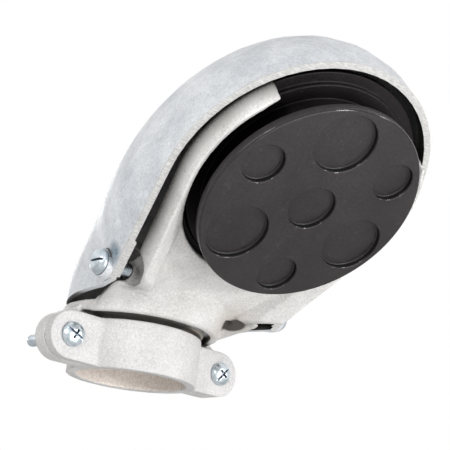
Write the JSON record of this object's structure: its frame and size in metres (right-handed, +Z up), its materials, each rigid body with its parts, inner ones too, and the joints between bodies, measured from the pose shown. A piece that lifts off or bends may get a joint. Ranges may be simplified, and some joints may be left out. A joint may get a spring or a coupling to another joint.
{
  "type": "service entrance weatherhead",
  "caption": "Cast weatherhead that clamps onto the top of a service conduit: a smooth hood over a forked body, holding a round insulating knockout insert that faces forward and down.",
  "frame": {"origin": "on the conduit axis, at the bottom face of the clamp", "axes": "+Z up the conduit into the head, -Y toward the side the insert faces, +X to the right of someone facing the insert"},
  "size_m": [0.1764, 0.2665, 0.2014],
  "materials": {
    "body_cast": "as cast",
    "hood_cast": "tumbled cast",
    "insert_plastic": "satin",
    "strap_cast": "as cast",
    "screw_steel": "zinc plated"
  },
  "bodies": {
    "head": {"body": "body_cast", "hood": "hood_cast", "insert": "insert_plastic", "hood_screw_left": "screw_steel", "hood_screw_right": "screw_steel"},
    "strap": {"clamp_strap": "strap_cast"},
    "screw_left": {"clamp_screw_left": "screw_steel"},
    "screw_right": {"clamp_screw_right": "screw_steel"}
  },
  "joints": [
    {"name": "strap_slide", "type": "slide", "parent": "head", "child": "strap", "axis": [0, -1, 0], "range_m": [0, 0.006]},
    {"name": "screw_left_turn", "type": "hinge", "parent": "strap", "child": "screw_left", "pos_m": [-0.061, -0.018, 0.016], "axis": [0, -1, 0], "range_deg": [0, 1531]},
    {"name": "screw_right_turn", "type": "hinge", "parent": "strap", "child": "screw_right", "pos_m": [0.061, -0.018, 0.016], "axis": [0, -1, 0], "range_deg": [0, 1531]}
  ],
  "couplings": [
    {"joint": "screw_left_turn", "follows": "strap_slide", "rad_per_m": 4452.7},
    {"joint": "screw_right_turn", "follows": "strap_slide", "rad_per_m": 4452.7}
  ]
}
